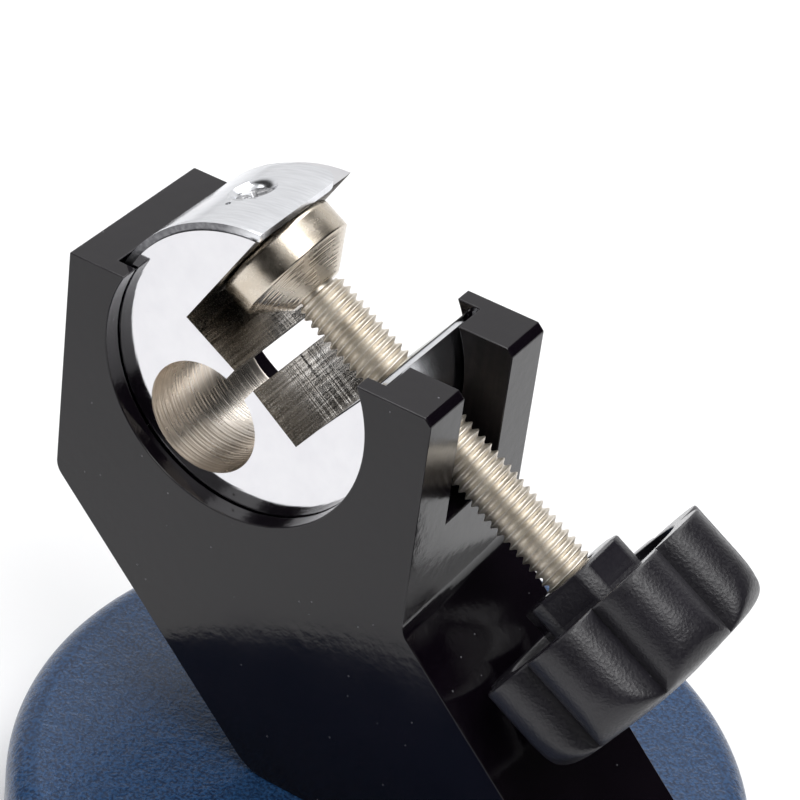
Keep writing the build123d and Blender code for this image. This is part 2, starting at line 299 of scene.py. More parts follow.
def arc(cx, cy, radius, start, end, steps):
    """Points on an arc, angles in degrees."""
    turn = [radians(start + (end - start) * i / steps) for i in range(steps + 1)]
    return [(cx + radius * cos(a), cy + radius * sin(a)) for a in turn]


def seat(piece, body, slot, *nodes):
    """Let a finished piece ride on a body and stand for its CAD nodes."""
    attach(piece, body)
    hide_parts(*nodes)
    print(piece.name, "has", len(piece.data.polygons), "faces and rides on", body)


print("mesh tools ready")

# %% [markdown]
# ## Shared surface effects
# Paint, plated steel and moulded plastic differ, but the small things that make them look real
# come from the same few effects: distance round a turning axis, uneven noise, long scratches,
# specks of dirt, and a mask of the exposed edges. Each is one node group with named sockets.
# The groups only give values and colours; the shader itself stays in each material.

# %% A way to build a group
def effect(name, inputs, outputs):
    """A new shader group with its sockets; returns it with its entry and exit nodes."""
    group = bpy.data.node_groups.new(name, "ShaderNodeTree")
    for label, kind, value in inputs:
        socket = group.interface.new_socket(name=label, in_out="INPUT", socket_type=kind)
        socket.default_value = value
    for label, kind in outputs:
        group.interface.new_socket(name=label, in_out="OUTPUT", socket_type=kind)
    entry = group.nodes.new("NodeGroupInput")
    leave = group.nodes.new("NodeGroupOutput")
    return group, entry, leave


def node(tree, kind, links=None, **settings):
    """Add a node, set its plain settings, and link or fill its inputs."""
    made = tree.nodes.new(kind)
    for key, value in settings.items():
        setattr(made, key, value)
    for key, value in (links or {}).items():
        socket = made.inputs[key]
        if isinstance(value, bpy.types.NodeSocket):
            tree.links.new(value, socket)
        else:
            socket.default_value = value
    return made


def maths(tree, operation, a, b=0.0, c=0.0, clamp=False):
    """One Math node; gives its output socket."""
    made = node(tree, "ShaderNodeMath", {0: a, 1: b, 2: c}, operation=operation, use_clamp=clamp)
    return made.outputs[0]


FLOAT, VECTOR, COLOUR = "NodeSocketFloat", "NodeSocketVector", "NodeSocketColor"
print("group tools ready")

# %% [markdown]
# A turned surface has its marks as rings round the axis it was turned on. The group below takes
# the axis and gives the distance from it, the place along it and the turn around it. Feeding one
# of the three to a noise texture draws rings, bands or spokes.

# %% Group: round an axis
round_axis, entry, leave = effect(
    "round_axis",
    [("Centre", VECTOR, (0, 0, 0)), ("Axis", VECTOR, (0, 0, 1)), ("Side", VECTOR, (1, 0, 0))],
    [("Radius", FLOAT), ("Along", FLOAT), ("Turn", FLOAT)])
place = node(round_axis, "ShaderNodeTexCoord").outputs["Object"]
arm = node(round_axis, "ShaderNodeVectorMath", {0: place, 1: entry.outputs["Centre"]},
           operation="SUBTRACT").outputs[0]
along = node(round_axis, "ShaderNodeVectorMath", {0: arm, 1: entry.outputs["Axis"]},
             operation="DOT_PRODUCT").outputs["Value"]
ring = node(round_axis, "ShaderNodeVectorMath", {0: arm, 1: entry.outputs["Axis"]},
            operation="CROSS_PRODUCT").outputs[0]
radius = node(round_axis, "ShaderNodeVectorMath", {0: ring}, operation="LENGTH").outputs["Value"]
across_side = node(round_axis, "ShaderNodeVectorMath", {0: arm, 1: entry.outputs["Side"]},
                   operation="DOT_PRODUCT").outputs["Value"]
ring_side = node(round_axis, "ShaderNodeVectorMath", {0: ring, 1: entry.outputs["Side"]},
                 operation="DOT_PRODUCT").outputs["Value"]
turn = maths(round_axis, "ARCTAN2", ring_side, across_side)
for label, value in (("Radius", radius), ("Along", along), ("Turn", turn)):
    round_axis.links.new(value, leave.inputs[label])
print("round_axis gives", [s.name for s in leave.inputs if s.name])

# %% [markdown]
# Uneven noise at two sizes is the workhorse for orange peel in paint, for the leather grain of
# the knob and for cloudy patches in a finish. Size is in millimetres, which is easier to judge
# than a texture scale.

# %% Group: uneven
uneven, entry, leave = effect(
    "uneven",
    [("Size mm", FLOAT, 1.0), ("Detail", FLOAT, 3.0), ("Stretch", VECTOR, (1, 1, 1)),
     ("Low", FLOAT, 0.3), ("High", FLOAT, 0.7)],
    [("Value", FLOAT)])
place = node(uneven, "ShaderNodeTexCoord").outputs["Object"]
pulled = node(uneven, "ShaderNodeVectorMath", {0: place, 1: entry.outputs["Stretch"]},
              operation="MULTIPLY").outputs[0]
scale = maths(uneven, "DIVIDE", 1000.0, entry.outputs["Size mm"])
noise = node(uneven, "ShaderNodeTexNoise",
             {"Vector": pulled, "Scale": scale, "Detail": entry.outputs["Detail"]})
spread = node(uneven, "ShaderNodeMapRange",
              {"Value": noise.outputs["Fac"], "From Min": entry.outputs["Low"],
               "From Max": entry.outputs["High"]})
uneven.links.new(spread.outputs[0], leave.inputs["Value"])
print("uneven works in millimetres")

# %% [markdown]
# Dust and small chips are dots with random places and sizes. A Voronoi texture gives the
# distance to random points, and a second noise decides which of them show at all.

# %% Group: specks
specks, entry, leave = effect(
    "specks",
    [("Size mm", FLOAT, 2.0), ("Fill", FLOAT, 0.1), ("Share", FLOAT, 0.4)],
    [("Mask", FLOAT)])
place = node(specks, "ShaderNodeTexCoord").outputs["Object"]
scale = maths(specks, "DIVIDE", 1000.0, entry.outputs["Size mm"])
dots = node(specks, "ShaderNodeTexVoronoi", {"Vector": place, "Scale": scale})
near = maths(specks, "LESS_THAN", dots.outputs["Distance"], entry.outputs["Fill"])
chosen = node(specks, "ShaderNodeSeparateColor", {0: dots.outputs["Color"]}).outputs[0]
shown = maths(specks, "LESS_THAN", chosen, entry.outputs["Share"])
specks.links.new(maths(specks, "MULTIPLY", near, shown), leave.inputs["Mask"])
print("specks ready")

# %% [markdown]
# Paint is thinnest on a corner and plating rubs through there first. The Bevel node looks a
# short way round each point; where the normal it finds differs from the real one, an edge is
# near. Breaking that up with noise stops the line from looking drawn.

# %% Group: worn edges
worn_edges, entry, leave = effect(
    "worn_edges",
    [("Reach mm", FLOAT, 0.3), ("Amount", FLOAT, 1.0), ("Break mm", FLOAT, 1.5)],
    [("Mask", FLOAT)])
reach = maths(worn_edges, "MULTIPLY", entry.outputs["Reach mm"], 0.001)
rounded = node(worn_edges, "ShaderNodeBevel", {"Radius": reach}, samples=4)
plain = node(worn_edges, "ShaderNodeNewGeometry").outputs["Normal"]
same = node(worn_edges, "ShaderNodeVectorMath", {0: rounded.outputs[0], 1: plain},
            operation="DOT_PRODUCT").outputs["Value"]
off = node(worn_edges, "ShaderNodeMapRange",
           {"Value": same, "From Min": 0.995, "From Max": 0.80}).outputs[0]
place = node(worn_edges, "ShaderNodeTexCoord").outputs["Object"]
scale = maths(worn_edges, "DIVIDE", 1000.0, entry.outputs["Break mm"])
patchy = node(worn_edges, "ShaderNodeTexNoise", {"Vector": place, "Scale": scale, "Detail": 3.0})
patches = node(worn_edges, "ShaderNodeMapRange",
               {"Value": patchy.outputs["Fac"], "From Min": 0.35, "From Max": 0.65}).outputs[0]
rubbed = maths(worn_edges, "MULTIPLY", off, patches)
worn_edges.links.new(maths(worn_edges, "MULTIPLY", rubbed, entry.outputs["Amount"], clamp=True),
                     leave.inputs["Mask"])
print("worn_edges ready")


# %% Start a material, use a group, mix colours, add a bump
def finish_of(name, **sockets):
    """A material with its Principled shader; plain values go straight to the shader's sockets."""
    material = bpy.data.materials.new(name)
    material.use_nodes = True
    shader = material.node_tree.nodes["Principled BSDF"]
    for label, value in sockets.items():
        shader.inputs[label.replace("_", " ")].default_value = value
    return material, material.node_tree, shader


def use(tree, group, output, **inputs):
    """Place a group in a material and give one of its outputs."""
    made = tree.nodes.new("ShaderNodeGroup")
    made.node_tree = group
    for label, value in inputs.items():
        socket = made.inputs[label.replace("_", " ")]
        if isinstance(value, bpy.types.NodeSocket):
            tree.links.new(value, socket)
        else:
            socket.default_value = value
    return made.outputs[output]


def mix_colour(tree, factor, a, b):
    """One colour turning into another by a factor."""
    made = node(tree, "ShaderNodeMix", data_type="RGBA")
    for index, value in ((0, factor), (6, a), (7, b)):
        if isinstance(value, bpy.types.NodeSocket):
            tree.links.new(value, made.inputs[index])
        elif index == 0:
            made.inputs[index].default_value = value
        else:
            made.inputs[index].default_value = (*value, 1)
    return made.outputs[2]


def between(tree, factor, low, high):
    """A factor from 0 to 1, turned into a value from low to high."""
    return node(tree, "ShaderNodeMapRange",
                {"Value": factor, "To Min": low, "To Max": high}).outputs[0]


def bumps(tree, shader, *layers):
    """Chain of bump nodes, one for each (height, depth in mm), into the shader's normal."""
    normal = None
    for height, depth in layers:
        links = {"Height": height, "Distance": depth * MM, "Strength": 1.0}
        if normal is not None:
            links["Normal"] = normal
        normal = node(tree, "ShaderNodeBump", links).outputs[0]
    tree.links.new(normal, shader.inputs["Normal"])


print("material tools ready")

# %% [markdown]
# ## Finishes
# The base has a blue hammered enamel: a mottled colour with a fine pebbled skin, and a metallic
# glint in the pebbles. The column and head have a plain black enamel that is smoother, with
# the slow waves that painters call orange peel, a little dust, and thin paint on the corners.

# %% Blue hammered enamel
base_paint, tree, shader = finish_of("blue_hammered_enamel", IOR=1.42)
pebbles = use(tree, uneven, "Value", Size_mm=0.38, Detail=2.0, Low=0.38, High=0.62)
dimples = use(tree, uneven, "Value", Size_mm=1.5, Detail=1.5, Low=0.25, High=0.75)
clouds = use(tree, uneven, "Value", Size_mm=7.0, Detail=3.0, Low=0.3, High=0.7)
flakes = use(tree, uneven, "Value", Size_mm=0.28, Detail=1.0, Low=0.52, High=0.66)
mottled = mix_colour(tree, pebbles, (0.002, 0.014, 0.050), (0.016, 0.066, 0.175))
clouded = mix_colour(tree, maths(tree, "MULTIPLY", clouds, 0.3), mottled, (0.010, 0.036, 0.090))
rim = use(tree, worn_edges, "Mask", Reach_mm=0.5, Amount=0.5, Break_mm=2.0)
glint = mix_colour(tree, maths(tree, "MULTIPLY", flakes, 0.2), clouded, (0.09, 0.15, 0.25))
tree.links.new(mix_colour(tree, rim, glint, (0.14, 0.21, 0.31)), shader.inputs["Base Color"])
tree.links.new(between(tree, flakes, 0.30, 0.20), shader.inputs["Roughness"])
tree.links.new(between(tree, flakes, 0.02, 0.20), shader.inputs["Metallic"])
bumps(tree, shader, (dimples, 0.055), (pebbles, 0.016))
print("blue enamel: pebbles of about half a millimetre")

# %% Black enamel
head_paint, tree, shader = finish_of("black_enamel", IOR=1.45)
peel = use(tree, uneven, "Value", Size_mm=1.3, Detail=2.0, Low=0.25, High=0.75)
fine = use(tree, uneven, "Value", Size_mm=0.35, Detail=2.0, Low=0.3, High=0.7)
dust = use(tree, specks, "Mask", Size_mm=1.9, Fill=0.060, Share=0.42)
corner = use(tree, worn_edges, "Mask", Reach_mm=0.25, Amount=0.7, Break_mm=2.5)
cloudy = use(tree, uneven, "Value", Size_mm=9.0, Detail=4.0, Low=0.3, High=0.7)
black = mix_colour(tree, cloudy, (0.0028, 0.0016, 0.0034), (0.0042, 0.0026, 0.0050))
dusty = mix_colour(tree, maths(tree, "MULTIPLY", dust, 0.5), black, (0.22, 0.22, 0.24))
tree.links.new(mix_colour(tree, corner, dusty, (0.16, 0.155, 0.165)), shader.inputs["Base Color"])
tree.links.new(between(tree, cloudy, 0.11, 0.17), shader.inputs["Roughness"])
bumps(tree, shader, (peel, 0.011), (fine, 0.0016), (dust, 0.03))
print("black enamel: orange peel of about a millimetre")

# %% Dull black between the prongs
channel_black, tree, shader = finish_of("dull_black", IOR=1.4)
thin = use(tree, uneven, "Value", Size_mm=1.1, Detail=4.0, Low=0.3, High=0.7)
streaks = use(tree, uneven, "Value", Size_mm=0.5, Detail=3.0, Stretch=(1, 1, 0.12),
              Low=0.35, High=0.65)
tree.links.new(mix_colour(tree, streaks, (0.0022, 0.0014, 0.0018), (0.0075, 0.0050, 0.0055)),
               shader.inputs["Base Color"])
tree.links.new(between(tree, thin, 0.45, 0.62), shader.inputs["Roughness"])
bumps(tree, shader, (thin, 0.015), (streaks, 0.006))
print("dull black ready")

# %% [markdown]
# The drum's ends are faced on a lathe and plated, so they are close to mirrors with very fine
# rings. The notch was milled and is coarser, with scratches across the drum and a sandy look
# near its corners. The round hole was bored and has a warm tint from the thin plating inside.

# %% Polished drum face
drum_steel, tree, shader = finish_of("polished_drum", Metallic=1.0)
reach = use(tree, round_axis, "Radius", Centre=drum_centre, Axis=side_dir, Side=screw_dir)
rings = node(tree, "ShaderNodeTexNoise",
             {"W": maths(tree, "MULTIPLY", reach, 3200.0), "Scale": 1.0, "Detail": 3.0},
             noise_dimensions="1D").outputs["Fac"]
haze = use(tree, uneven, "Value", Size_mm=2.5, Detail=5.0, Low=0.3, High=0.7)
pits = use(tree, specks, "Mask", Size_mm=3.1, Fill=0.045, Share=0.3)
edge = use(tree, worn_edges, "Mask", Reach_mm=0.2, Amount=0.6, Break_mm=0.7)
pale = mix_colour(tree, haze, (0.735, 0.73, 0.755), (0.785, 0.78, 0.80))
pitted = mix_colour(tree, pits, pale, (0.20, 0.19, 0.19))
tree.links.new(mix_colour(tree, edge, pitted, (0.55, 0.55, 0.56)), shader.inputs["Base Color"])
tree.links.new(between(tree, haze, 0.05, 0.10), shader.inputs["Roughness"])
bumps(tree, shader, (rings, 0.0030), (haze, 0.0006))
print("drum face: rings about a third of a millimetre apart")

# %% Milled notch
notch_steel, tree, shader = finish_of("milled_notch", Metallic=1.0)
lines = use(tree, uneven, "Value", Size_mm=0.30, Detail=3.0, Stretch=(1, 0.035, 1),
            Low=0.35, High=0.65)
sand = use(tree, uneven, "Value", Size_mm=0.16, Detail=2.0, Low=0.38, High=0.62)
patch = use(tree, uneven, "Value", Size_mm=5.0, Detail=3.0, Low=0.35, High=0.65)
worked = mix_colour(tree, lines, (0.05, 0.047, 0.045), (0.40, 0.39, 0.38))
sandy = mix_colour(tree, maths(tree, "MULTIPLY", sand, 0.4), worked, (0.34, 0.31, 0.27))
tree.links.new(mix_colour(tree, maths(tree, "MULTIPLY", patch, 0.25), sandy, (0.55, 0.51, 0.46)),
               shader.inputs["Base Color"])
tree.links.new(between(tree, sand, 0.12, 0.28), shader.inputs["Roughness"])
bumps(tree, shader, (lines, 0.016), (sand, 0.009))
print("notch: scratches run across the drum")

# %% Bored hole
bore_steel, tree, shader = finish_of("bored_hole", Metallic=1.0)
depth = use(tree, round_axis, "Along", Centre=drum_centre, Axis=side_dir, Side=screw_dir)
tool_marks = node(tree, "ShaderNodeTexNoise",
                  {"W": maths(tree, "MULTIPLY", depth, 5200.0), "Scale": 1.0, "Detail": 4.0},
                  noise_dimensions="1D").outputs["Fac"]
bloom = use(tree, uneven, "Value", Size_mm=4.0, Detail=3.0, Low=0.3, High=0.7)
warm = mix_colour(tree, tool_marks, (0.34, 0.30, 0.26), (1.0, 0.95, 0.88))
tree.links.new(mix_colour(tree, maths(tree, "MULTIPLY", bloom, 0.4), warm, (0.74, 0.65, 0.56)),
               shader.inputs["Base Color"])
tree.links.new(between(tree, bloom, 0.22, 0.34), shader.inputs["Roughness"])
bumps(tree, shader, (tool_marks, 0.022))
print("bored hole: rings from the boring tool")

# %% [markdown]
# The curved strips are bright sheet steel, brushed along their length. The clamp screw and its
# pad are nickel plated, which is yellower than chrome. The small screws and washers are zinc.

# %% Brushed strip
shoe_steel, tree, shader = finish_of("brushed_strip", Metallic=1.0)
strokes = use(tree, uneven, "Value", Size_mm=0.22, Detail=3.0, Stretch=(0.08, 1, 0.08),
              Low=0.3, High=0.7)
haze = use(tree, uneven, "Value", Size_mm=3.0, Detail=4.0, Low=0.3, High=0.7)
edge = use(tree, worn_edges, "Mask", Reach_mm=0.12, Amount=0.5, Break_mm=0.8)
sheet = mix_colour(tree, strokes, (0.72, 0.73, 0.76), (0.82, 0.83, 0.86))
tree.links.new(mix_colour(tree, edge, sheet, (0.93, 0.93, 0.95)), shader.inputs["Base Color"])
tree.links.new(between(tree, haze, 0.16, 0.27), shader.inputs["Roughness"])
bumps(tree, shader, (strokes, 0.0014), (haze, 0.0015))
print("strip: strokes a fifth of a millimetre apart")

# %% Sheared edge of the strip
sheared, tree, shader = finish_of("sheared_edge", Metallic=1.0, Roughness=0.34)
streaks = use(tree, uneven, "Value", Size_mm=0.5, Detail=3.0, Low=0.3, High=0.7)
turned_way = use(tree, round_axis, "Along", Centre=drum_centre, Axis=screw_dir, Side=side_dir)
# The dull grey streaks are the sheared edge's own colour. The near-white share toward the notch end is a
# painted highlight.
highlight_near_notch = node(tree, "ShaderNodeMapRange",
                  {"Value": turned_way, "From Min": -0.0125, "From Max": -0.0095}).outputs[0]
grey = mix_colour(tree, streaks, (0.13, 0.13, 0.14), (0.26, 0.26, 0.27))
tree.links.new(mix_colour(tree, highlight_near_notch, grey, (0.86, 0.87, 0.89)), shader.inputs["Base Color"])
bumps(tree, shader, (streaks, 0.02))
# The bright share near the notch is a painted highlight.
print("sheared edge: dull grey, bright where it was rubbed")

# %% Nickel plate, turned and rolled
def nickel_plate(name, low_tone, high_tone, groove_depth, smooth):
    """Nickel plate with fine grooves along the screw's line, of a given depth."""
    material, tree, shader = finish_of(name, Metallic=1.0)
    sweep = use(tree, round_axis, "Along", Centre=drum_centre, Axis=screw_dir, Side=side_dir)
    passes = node(tree, "ShaderNodeTexNoise",
                  {"W": maths(tree, "MULTIPLY", sweep, 6500.0), "Scale": 1.0, "Detail": 3.0},
                  noise_dimensions="1D").outputs["Fac"]
    cloud = use(tree, uneven, "Value", Size_mm=2.2, Detail=4.0, Low=0.3, High=0.7)
    grit = use(tree, uneven, "Value", Size_mm=0.15, Detail=2.0, Low=0.35, High=0.65)
    edge = use(tree, worn_edges, "Mask", Reach_mm=0.12, Amount=0.55, Break_mm=0.6)
    plate = mix_colour(tree, cloud, low_tone, high_tone)
    toned = mix_colour(tree, maths(tree, "MULTIPLY", grit, 0.3), plate, (0.45, 0.40, 0.34))
    tree.links.new(mix_colour(tree, edge, toned, (0.88, 0.85, 0.79)), shader.inputs["Base Color"])
    tree.links.new(between(tree, cloud, smooth, smooth + 0.13), shader.inputs["Roughness"])
    bumps(tree, shader, (passes, groove_depth), (grit, 0.0020))
    return material


nickel = nickel_plate("turned_nickel", (0.60, 0.52, 0.42), (0.76, 0.69, 0.59), 0.0022, 0.19)
# The thread's copy is painted lighter than the pad's nickel, as painted light on the screw. Its higher
# roughness and lack of grooves belong to the rolled thread itself.
lightened_thread_nickel = nickel_plate("rolled_nickel_lightened", (0.74, 0.68, 0.59), (0.86, 0.81, 0.73), 0.0, 0.38)
print("nickel plate:", nickel.name, lightened_thread_nickel.name)

# %% Zinc plate
zinc, tree, shader = finish_of("zinc_plate", Metallic=1.0)
grit = use(tree, uneven, "Value", Size_mm=0.25, Detail=3.0, Low=0.3, High=0.7)
edge = use(tree, worn_edges, "Mask", Reach_mm=0.1, Amount=0.6, Break_mm=0.6)
dull = mix_colour(tree, grit, (0.26, 0.26, 0.27), (0.52, 0.52, 0.53))
tree.links.new(mix_colour(tree, edge, dull, (0.85, 0.85, 0.86)), shader.inputs["Base Color"])
tree.links.new(between(tree, grit, 0.22, 0.36), shader.inputs["Roughness"])
bumps(tree, shader, (grit, 0.012))
print("zinc plate ready")

# %% [markdown]
# The knob is black plastic. Its mould was etched, which leaves a leather grain on the lobes,
# but the boss and the flat face behind it are smooth and glossier. The feet are plain rubber.

# %% Grained knob plastic, smooth knob plastic and rubber
def plastic(name, grain_depth, low, high):
    """Black moulded plastic with a grain of a given depth and a range of roughness."""
    material, tree, shader = finish_of(name, IOR=1.49)
    grain = use(tree, uneven, "Value", Size_mm=0.34, Detail=1.5, Low=0.38, High=0.62)
    cloud = use(tree, uneven, "Value", Size_mm=6.0, Detail=3.0, Low=0.3, High=0.7)
    dust = use(tree, specks, "Mask", Size_mm=3.0, Fill=0.035, Share=0.3)
    edge = use(tree, worn_edges, "Mask", Reach_mm=0.3, Amount=0.35, Break_mm=1.5)
    black = mix_colour(tree, cloud, (0.0110, 0.0100, 0.0135), (0.0190, 0.0175, 0.0225))
    dusty = mix_colour(tree, maths(tree, "MULTIPLY", dust, 0.4), black, (0.2, 0.2, 0.22))
    tree.links.new(mix_colour(tree, edge, dusty, (0.06, 0.06, 0.065)),
                   shader.inputs["Base Color"])
    tree.links.new(between(tree, grain, high, low), shader.inputs["Roughness"])
    bumps(tree, shader, (cloud, 0.01), (grain, grain_depth))
    return material


knob_plastic = plastic("grained_plastic", 0.013, 0.30, 0.42)
knob_smooth = plastic("smooth_plastic", 0.004, 0.16, 0.24)
foot_rubber = plastic("soft_rubber", 0.020, 0.62, 0.80)
print("plastics:", knob_plastic.name, knob_smooth.name, foot_rubber.name)

# %% [markdown]
# ## The base
# On the real stand this is an iron casting, turned on top and at the rim. A profile swept round
# the upright axis gives it exactly, with a quarter round at the rim. The pockets for the column
# screws and the rubber feet are then cut into the underside.

# %% Base
base_low, base_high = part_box("base")
base_r, base_top, base_floor = base_high.x / MM, base_high.z / MM, base_low.z / MM
rim_round, recess_r, recess_top = 4.0, 30.0, 4.5
rim_arc = arc(base_r - rim_round, base_top - rim_round, rim_round, 90, 0, 14)
base_profile = [(0, recess_top), (0, base_top)] + [(r, base_top) for r in (12, 24, 34)]
base_profile += rim_arc + [(base_r, base_floor + 1), (base_r - 1, base_floor)]
base_profile += [(recess_r, base_floor), (recess_r, recess_top), (0, recess_top)]
base = turned("base_casting", base_profile, (0, 0, 0), (0, 0, 1), steps=256)


def post(name, x, y, radius, low, high, steps=64):
    """An upright round cutter, in millimetres."""
    circle = [(x * MM + px * MM, y * MM + py * MM) for px, py in arc(0, 0, radius, 0, 360, steps)]
    return pushed(name, circle[:-1], low * MM, high * MM, axis="Z")


bolt_xs = (-4.0, 18.0)
pockets = [post("saw", x, 0, 3.2, recess_top - 1, base_top + 1) for x in bolt_xs]
pockets += [post("saw", x, 0, 6.6, recess_top - 1, 9.0) for x in bolt_xs]
for number in range(1, 5):
    low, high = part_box("foot_" + str(number))
    middle = (low + high) / 2 / MM
    pockets.append(post("saw", middle.x, middle.y, 5.02, base_floor - 1, base_floor + 1.5))
cut(base, *pockets)
soften(base, 0.25, angle=40)
base.data.materials.clear()
base.data.materials.append(base_paint)
seat(base, "stand", "base_paint", "base")

# %% [markdown]
# ## The head and column
# The real one is a single casting of one thickness, milled to its outline. The outline is a
# list of corners, some of them rounded. It is pushed through the thickness, then the bore, the
# two lips in front of and behind the drum, and the slot for the screw are cut away. A bevel
# follows, because the thick paint rounds every corner.

# %% Round the corners of an outline
def rounded(corners, radii, steps=8):
    """Corners in millimetres with a radius for each; a radius of 0 keeps the corner sharp."""
    out = []
    for i, (corner, radius) in enumerate(zip(corners, radii)):
        here = Vector(corner)
        before = (Vector(corners[i - 1]) - here).normalized()
        after = (Vector(corners[(i + 1) % len(corners)]) - here).normalized()
        if radius == 0:
            out.append(tuple(here))
            continue
        half = before.angle(after) / 2
        middle = here + (before + after).normalized() * (radius / sin(half))
        first = here + before * (radius / (sin(half) / cos(half)))
        last = here + after * (radius / (sin(half) / cos(half)))
        a0 = atan2(first.y - middle.y, first.x - middle.x)
        swing = atan2(last.y - middle.y, last.x - middle.x) - a0
        swing = (swing + pi) % (2 * pi) - pi
        for k in range(steps + 1):
            a = a0 + swing * k / steps
            out.append((middle.x + radius * cos(a), middle.y + radius * sin(a)))
    return out


# %% Head and column
head_low, head_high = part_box("head_column")
left, right = -39.5, 5.5
foot_z, top_z = head_low.z / MM, head_high.z / MM
left_bend, right_bend = drum_centre.z / MM - 20.8, drum_centre.z / MM - 20.0
half_t = head_high.y / MM
corners = [(left, top_z), (right - 0.8, top_z), (right, top_z - 0.8), (right, right_bend),
           (right + right_bend - foot_z, foot_z), (left + left_bend - foot_z, foot_z),
           (left, left_bend)]
outline = rounded(corners, [0, 0, 0, 2.5, 0, 6.0, 2.5], steps=10)
head = pushed("head_casting", [(x * MM, z * MM) for x, z in outline],
              -half_t * MM, half_t * MM)


def barrel(radius, low, high, x=None, z=None, steps=192):
    """A round cutter lying across the stand, in millimetres; by default on the drum's axis."""
    cx = drum_centre.x / MM if x is None else x
    cz = drum_centre.z / MM if z is None else z
    ring = [(px * MM, pz * MM) for px, pz in arc(cx, cz, radius, 0, 360, steps)[:-1]]
    return pushed("saw", ring, low * MM, high * MM)


lip = 2.2
slot_low = drum_centre.z / MM - 9.45
slot = [(drum_centre.x / MM, slot_low), (right + 4, slot_low), (right + 4, top_z + 4),
        (drum_centre.x / MM, top_z + 4)]
saws = [barrel(18.3, -half_t + lip, half_t - lip), barrel(16.2, -half_t - 1, 0),
        barrel(15.8, 0, half_t + 1),
        pushed("saw", [(x * MM, z * MM) for x, z in slot], -4.7 * MM, 4.7 * MM)]
saws += [post("saw", x, 0, 3.0, foot_z - 1, foot_z + 12) for x in bolt_xs]
cut(head, *saws)
soften(head, 0.24, segments=3, angle=32)
head.data.materials.clear()
head.data.materials.append(head_paint)
head.data.materials.append(channel_black)
for face in head.data.polygons:
    wall = abs(face.normal.y) > 0.9 and abs(face.center.y) < 4.75 * MM
    face.material_index = 1 if wall and face.center.x > 0 else 0
seat(head, "stand", "head_paint", "head_column")

# %% [markdown]
# ## The split drum
# The drum is a short steel cylinder. Its outline in the clamp's own directions is one closed
# line: round the outside, down the notch, along its floor, through the slit, round the bored
# hole and back. Only the bored hole changes along the drum, where the boring tool left rings, so
# the outline is repeated across the drum with a slightly different hole each time. Each part of
# the line remembers its zone, so that each zone can have its own finish.

# %% The drum's outline and its zones
drum_r, half_w = 16.9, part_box("clamp_drum")[1].y / MM
wall_u, floor_n, slit = -8.95, -0.35, 1.45
lower_floor, lower_lean = Vector((8.75, -1.1)), Vector((1.65, 19.1)).normalized()
hole_u, hole_n, hole_r = -0.4, -8.63, 6.66
reach = lower_floor.dot(lower_lean)
lip_end = lower_floor + lower_lean * (sqrt(reach ** 2 - lower_floor.length_squared
                                           + drum_r ** 2) - reach)
wall_end = Vector((wall_u, sqrt(drum_r ** 2 - wall_u ** 2)))


def drum_line(radius):
    """The outline for one hole radius: a list of (point, zone of the side that follows)."""
    start = degrees(atan2(wall_end.y, wall_end.x))
    end = degrees(atan2(lip_end.y, lip_end.x)) + 360
    line = [(p, "skin") for p in arc(0, 0, drum_r, start, end, 150)[:-1]]
    line.append((tuple(lip_end), "notch"))
    line += [(tuple(lower_floor), "notch"), ((slit, floor_n), "slit")]
    first = atan2(sqrt(radius ** 2 - (slit - hole_u) ** 2), slit - hole_u)
    last = atan2(sqrt(radius ** 2 - (-slit - hole_u) ** 2), -slit - hole_u)
    line += [(p, "hole") for p in
             arc(hole_u, hole_n, radius, degrees(first), degrees(last) - 360, 96)[:-1]]
    line.append((arc(hole_u, hole_n, radius, degrees(last), degrees(last), 1)[0], "slit"))
    line += [((-slit, floor_n), "notch"), ((wall_u, floor_n), "notch")]
    return line


print("outline has", len(drum_line(hole_r)), "points")

# %% Repeat the outline across the drum
def boring_mark(y):
    """How far the boring tool's ring at y stands off the mean hole, in millimetres."""
    return 0.014 * sin(12.5 * y) + 0.010 * sin(7.3 * y + 1.1) + 0.006 * sin(21.0 * y + 0.4)


stations = [-half_w, -half_w + 0.3]
while stations[-1] < half_w - 0.4:
    stations.append(stations[-1] + 0.11)
stations += [half_w - 0.3, half_w]
points, faces, zones = [], [], []
for y in stations:
    mark = 0 if abs(y) > half_w - 0.31 else boring_mark(y)
    line = drum_line(hole_r + mark)
    points += [clamp_point(u, y, n) for (u, n), zone in line]
count = len(line)
for s in range(len(stations) - 1):
    for i in range(count):
        j = (i + 1) % count
        faces.append((s * count + i, s * count + j, (s + 1) * count + j, (s + 1) * count + i))
        zones.append(line[i][1])
faces += [tuple(range(count)), tuple(range(len(points) - 1, len(points) - count - 1, -1))]
zones += ["skin", "skin"]
drum_finish = {"skin": 0, "notch": 1, "slit": 1, "hole": 2}
mesh = bpy.data.meshes.new("split_drum")
mesh.from_pydata([tuple(p) for p in points], [], faces)
for material in (drum_steel, notch_steel, bore_steel):
    mesh.materials.append(material)
mesh.polygons.foreach_set("material_index", [drum_finish[z] for z in zones])
work = bmesh.new()
work.from_mesh(mesh)
bmesh.ops.recalc_face_normals(work, faces=work.faces)
work.to_mesh(mesh)
work.free()
drum = bpy.data.objects.new("split_drum", mesh)
bpy.context.scene.collection.objects.link(drum)
print("drum rings:", len(stations))


# %% Holes in the drum, then its edges
def rod(radius, low, high, start, axis, steps=64):
    """A round cutter along any axis, between two stations in millimetres."""
    return turned("saw", [(0, low), (radius, low), (radius, high), (0, high)], start, axis, steps)


def spoke(angle):
    """The direction out of the drum at an angle counted from the screw's direction."""
    return screw_dir * cos(radians(angle)) + jaw_dir * sin(radians(angle))


upper_at, lower_at = 143.0, -13.0
screw_line = clamp_point(0, 0, screw_height)
drum_saws = [rod(3.06, 5, 22, screw_line, screw_dir),
             rod(2.4, drum_r - 1.6, drum_r + 2, drum_centre, spoke(upper_at)),
             rod(2.4, drum_r - 1.6, drum_r + 2, drum_centre, spoke(lower_at))]
cut(drum, *drum_saws)
soften(drum, 0.10, segments=2, angle=55)
seat(drum, "swivel", "drum_steel", "clamp_drum")

